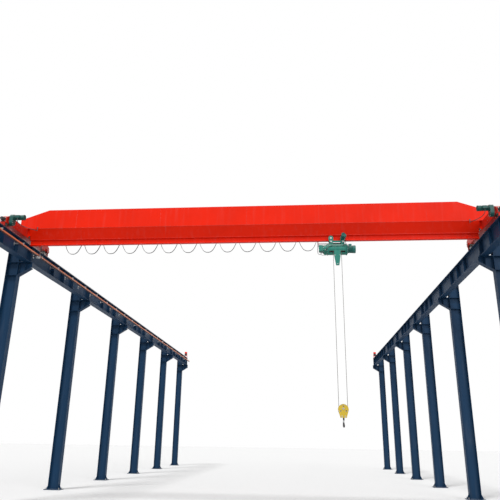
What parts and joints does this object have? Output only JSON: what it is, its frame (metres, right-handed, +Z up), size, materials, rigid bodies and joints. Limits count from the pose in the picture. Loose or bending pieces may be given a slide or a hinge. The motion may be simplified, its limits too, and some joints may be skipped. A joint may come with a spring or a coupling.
{
  "type": "overhead bridge crane",
  "caption": "Single-girder overhead bridge crane with a wire rope hoist, running on rails over a row of columns with brackets.",
  "frame": {"origin": "centre of the footprint, at floor level", "axes": "+X along the bridge towards the hoist's side, +Y along the runway, away from the viewer of the picture, +Z up"},
  "size_m": [18.21, 36.46, 10.13],
  "materials": {
    "steel_blue": "matte dark blue paint",
    "crane_red": "gloss orange-red paint",
    "hoist_green": "gloss blue-green paint",
    "bare_steel": "rolled and worn steel",
    "zinc_grey": "galvanised",
    "wire_rope": "greased wire rope",
    "rubber_black": "black rubber",
    "conductor_orange": "orange plastic",
    "cabinet_grey": "light grey powder coat",
    "block_yellow": "gloss yellow paint",
    "hook_black": "dark forged steel"
  },
  "bodies": {
    "runway": {"columns_left": "steel_blue", "columns_right": "steel_blue", "runway_beams_left": "steel_blue", "runway_beams_right": "steel_blue", "rail_left": "bare_steel", "rail_right": "bare_steel", "end_stops": "crane_red", "conductor_tube": "conductor_orange", "conductor_brackets": "zinc_grey"},
    "bridge": {"girder_box": "crane_red", "hoist_beam": "crane_red", "end_carriage_left": "crane_red", "end_carriage_right": "crane_red", "carriage_buffers": "rubber_black", "travel_drive_left": "hoist_green", "travel_drive_right": "hoist_green", "festoon_track": "zinc_grey", "festoon_track_arms": "zinc_grey", "festoon_cable": "rubber_black", "control_cabinet": "cabinet_grey", "current_collector": "zinc_grey"},
    "trolley": {"trolley_frame": "hoist_green", "trolley_drive": "hoist_green", "drum_housing": "hoist_green", "hoist_motor": "hoist_green", "hoist_gearbox": "hoist_green", "hoist_control_box": "hoist_green", "rope_guide": "hoist_green", "festoon_tow_arm": "zinc_grey", "rope_falls": "wire_rope"},
    "drum": {"rope_drum": "bare_steel"},
    "block": {"hook_block": "block_yellow"},
    "sheave": {"hook_sheave": "bare_steel"},
    "hook": {"hook": "hook_black"},
    "wheel_left_near_body": {"wheel_left_near": "bare_steel"},
    "wheel_left_far_body": {"wheel_left_far": "bare_steel"},
    "wheel_right_near_body": {"wheel_right_near": "bare_steel"},
    "wheel_right_far_body": {"wheel_right_far": "bare_steel"},
    "trolley_wheel_1_body": {"trolley_wheel_1": "bare_steel"},
    "trolley_wheel_2_body": {"trolley_wheel_2": "bare_steel"},
    "trolley_wheel_3_body": {"trolley_wheel_3": "bare_steel"},
    "trolley_wheel_4_body": {"trolley_wheel_4": "bare_steel"},
    "cable_carrier_1_body": {"cable_carrier_1": "zinc_grey"},
    "cable_carrier_2_body": {"cable_carrier_2": "zinc_grey"},
    "cable_carrier_3_body": {"cable_carrier_3": "zinc_grey"},
    "cable_carrier_4_body": {"cable_carrier_4": "zinc_grey"},
    "cable_carrier_5_body": {"cable_carrier_5": "zinc_grey"},
    "cable_carrier_6_body": {"cable_carrier_6": "zinc_grey"},
    "cable_carrier_7_body": {"cable_carrier_7": "zinc_grey"},
    "cable_carrier_8_body": {"cable_carrier_8": "zinc_grey"},
    "cable_carrier_9_body": {"cable_carrier_9": "zinc_grey"},
    "cable_carrier_10_body": {"cable_carrier_10": "zinc_grey"},
    "cable_carrier_11_body": {"cable_carrier_11": "zinc_grey"},
    "cable_carrier_12_body": {"cable_carrier_12": "zinc_grey"}
  },
  "joints": [
    {"name": "bridge_travel", "type": "slide", "parent": "runway", "child": "bridge", "axis": [0, 1, 0], "range_m": [-3.66, 28.36]},
    {"name": "wheel_left_near_spin", "type": "hinge", "parent": "bridge", "child": "wheel_left_near_body", "pos_m": [-8.25, -13.85, 9.1503], "axis": [1, 0, 0], "range_deg": [-10835, 1400]},
    {"name": "wheel_left_far_spin", "type": "hinge", "parent": "bridge", "child": "wheel_left_far_body", "pos_m": [-8.25, -10.85, 9.1503], "axis": [1, 0, 0], "range_deg": [-10835, 1400]},
    {"name": "wheel_right_near_spin", "type": "hinge", "parent": "bridge", "child": "wheel_right_near_body", "pos_m": [8.25, -13.85, 9.1503], "axis": [1, 0, 0], "range_deg": [-10835, 1400]},
    {"name": "wheel_right_far_spin", "type": "hinge", "parent": "bridge", "child": "wheel_right_far_body", "pos_m": [8.25, -10.85, 9.1503], "axis": [1, 0, 0], "range_deg": [-10835, 1400]},
    {"name": "trolley_travel", "type": "slide", "parent": "bridge", "child": "trolley", "axis": [1, 0, 0], "range_m": [-8.4, 4.2], "deforming": ["festoon_cable"]},
    {"name": "trolley_wheel_1_spin", "type": "hinge", "parent": "trolley", "child": "trolley_wheel_1_body", "pos_m": [2.975, -12.35, 8.9013], "axis": [0, 1, 0], "range_deg": [-7185, 3594]},
    {"name": "trolley_wheel_2_spin", "type": "hinge", "parent": "trolley", "child": "trolley_wheel_2_body", "pos_m": [2.975, -12.35, 8.9013], "axis": [0, 1, 0], "range_deg": [-7185, 3594]},
    {"name": "trolley_wheel_3_spin", "type": "hinge", "parent": "trolley", "child": "trolley_wheel_3_body", "pos_m": [3.385, -12.35, 8.9013], "axis": [0, 1, 0], "range_deg": [-7185, 3594]},
    {"name": "trolley_wheel_4_spin", "type": "hinge", "parent": "trolley", "child": "trolley_wheel_4_body", "pos_m": [3.385, -12.35, 8.9013], "axis": [0, 1, 0], "range_deg": [-7185, 3594]},
    {"name": "hoist_lift", "type": "slide", "parent": "trolley", "child": "block", "axis": [0, 0, 1], "range_m": [-2.2, 4.45], "deforming": ["rope_falls"]},
    {"name": "drum_spin", "type": "hinge", "parent": "trolley", "child": "drum", "pos_m": [3.18, -12.35, 8.505], "axis": [1, 0, 0], "range_deg": [-1773, 877]},
    {"name": "sheave_spin", "type": "hinge", "parent": "block", "child": "sheave", "pos_m": [3.18, -12.494, 3.1], "axis": [0, 1, 0], "continuous": true},
    {"name": "hook_swivel", "type": "hinge", "parent": "block", "child": "hook", "pos_m": [3.18, -12.494, 2.8], "axis": [0, 0, 1], "continuous": true},
    {"name": "cable_carrier_1_slide", "type": "slide", "parent": "bridge", "child": "cable_carrier_1_body", "axis": [1, 0, 0], "range_m": [-0.6482, 0.3251]},
    {"name": "cable_carrier_2_slide", "type": "slide", "parent": "bridge", "child": "cable_carrier_2_body", "axis": [1, 0, 0], "range_m": [-1.2943, 0.6482]},
    {"name": "cable_carrier_3_slide", "type": "slide", "parent": "bridge", "child": "cable_carrier_3_body", "axis": [1, 0, 0], "range_m": [-1.9405, 0.9712]},
    {"name": "cable_carrier_4_slide", "type": "slide", "parent": "bridge", "child": "cable_carrier_4_body", "axis": [1, 0, 0], "range_m": [-2.5866, 1.2943]},
    {"name": "cable_carrier_5_slide", "type": "slide", "parent": "bridge", "child": "cable_carrier_5_body", "axis": [1, 0, 0], "range_m": [-3.2328, 1.6174]},
    {"name": "cable_carrier_6_slide", "type": "slide", "parent": "bridge", "child": "cable_carrier_6_body", "axis": [1, 0, 0], "range_m": [-3.8789, 1.9405]},
    {"name": "cable_carrier_7_slide", "type": "slide", "parent": "bridge", "child": "cable_carrier_7_body", "axis": [1, 0, 0], "range_m": [-4.5251, 2.2635]},
    {"name": "cable_carrier_8_slide", "type": "slide", "parent": "bridge", "child": "cable_carrier_8_body", "axis": [1, 0, 0], "range_m": [-5.1712, 2.5866]},
    {"name": "cable_carrier_9_slide", "type": "slide", "parent": "bridge", "child": "cable_carrier_9_body", "axis": [1, 0, 0], "range_m": [-5.8174, 2.9097]},
    {"name": "cable_carrier_10_slide", "type": "slide", "parent": "bridge", "child": "cable_carrier_10_body", "axis": [1, 0, 0], "range_m": [-6.4635, 3.2328]},
    {"name": "cable_carrier_11_slide", "type": "slide", "parent": "bridge", "child": "cable_carrier_11_body", "axis": [1, 0, 0], "range_m": [-7.1097, 3.5558]},
    {"name": "cable_carrier_12_slide", "type": "slide", "parent": "bridge", "child": "cable_carrier_12_body", "axis": [1, 0, 0], "range_m": [-7.7558, 3.8789]}
  ],
  "couplings": [
    {"joint": "wheel_left_near_spin", "follows": "bridge_travel", "rad_per_m": -6.6667},
    {"joint": "wheel_left_far_spin", "follows": "bridge_travel", "rad_per_m": -6.6667},
    {"joint": "wheel_right_near_spin", "follows": "bridge_travel", "rad_per_m": -6.6667},
    {"joint": "wheel_right_far_spin", "follows": "bridge_travel", "rad_per_m": -6.6667},
    {"joint": "trolley_wheel_1_spin", "follows": "trolley_travel", "rad_per_m": 14.925},
    {"joint": "trolley_wheel_2_spin", "follows": "trolley_travel", "rad_per_m": 14.925},
    {"joint": "trolley_wheel_3_spin", "follows": "trolley_travel", "rad_per_m": 14.925},
    {"joint": "trolley_wheel_4_spin", "follows": "trolley_travel", "rad_per_m": 14.925},
    {"joint": "drum_spin", "follows": "hoist_lift", "rad_per_m": -6.9444},
    {"joint": "cable_carrier_1_slide", "follows": "trolley_travel", "ratio": 0.076923},
    {"joint": "cable_carrier_2_slide", "follows": "trolley_travel", "ratio": 0.15385},
    {"joint": "cable_carrier_3_slide", "follows": "trolley_travel", "ratio": 0.23077},
    {"joint": "cable_carrier_4_slide", "follows": "trolley_travel", "ratio": 0.30769},
    {"joint": "cable_carrier_5_slide", "follows": "trolley_travel", "ratio": 0.38461},
    {"joint": "cable_carrier_6_slide", "follows": "trolley_travel", "ratio": 0.46154},
    {"joint": "cable_carrier_7_slide", "follows": "trolley_travel", "ratio": 0.53846},
    {"joint": "cable_carrier_8_slide", "follows": "trolley_travel", "ratio": 0.61538},
    {"joint": "cable_carrier_9_slide", "follows": "trolley_travel", "ratio": 0.69231},
    {"joint": "cable_carrier_10_slide", "follows": "trolley_travel", "ratio": 0.76923},
    {"joint": "cable_carrier_11_slide", "follows": "trolley_travel", "ratio": 0.84615},
    {"joint": "cable_carrier_12_slide", "follows": "trolley_travel", "ratio": 0.92308}
  ]
}
